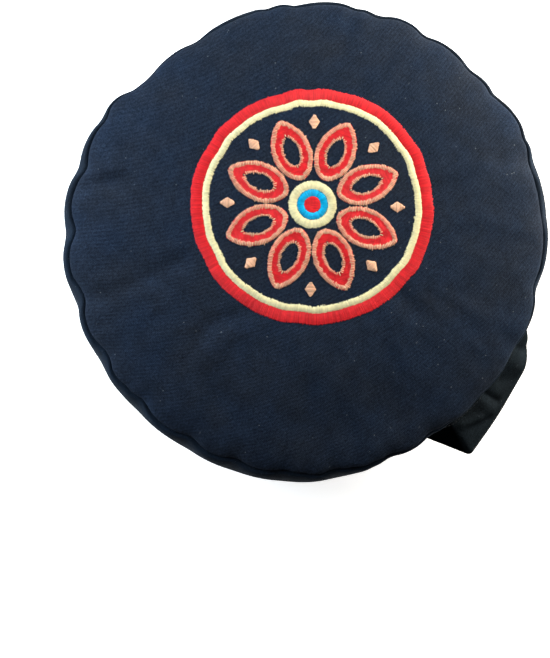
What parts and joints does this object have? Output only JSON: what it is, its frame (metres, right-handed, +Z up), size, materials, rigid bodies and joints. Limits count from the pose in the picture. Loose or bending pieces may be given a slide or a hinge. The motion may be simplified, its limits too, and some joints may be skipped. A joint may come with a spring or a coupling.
{
  "type": "zafu meditation cushion",
  "caption": "Round filled floor cushion with a flat drum shape, scalloped seams, a gathered side band, an embroidered top panel and a cloth carrying strap.",
  "frame": {"origin": "centre of the flat base, on the surface that the cushion rests on", "axes": "+Z up through the crown; the carrying strap stands off the side on -Y; +X is to the right when facing the strap"},
  "size_m": [0.3284, 0.3477, 0.14],
  "materials": {
    "cover_cloth": "dark navy cotton twill, matt with a faint nap",
    "side_cloth": "dark navy cotton twill, matt",
    "strap_cloth": "blue-black folded cotton, matt",
    "red_thread": "red embroidery thread in satin stitch",
    "cream_thread": "pale cream-yellow embroidery thread in satin stitch",
    "gold_thread": "peach embroidery thread",
    "blue_thread": "sky-blue embroidery thread",
    "sewing_thread": "blue-black sewing thread"
  },
  "bodies": {
    "root": {"filled_band": "side_cloth", "top_panel": "cover_cloth", "bottom_panel": "cover_cloth", "carry_handle": "strap_cloth"}
  },
  "joints": []
}
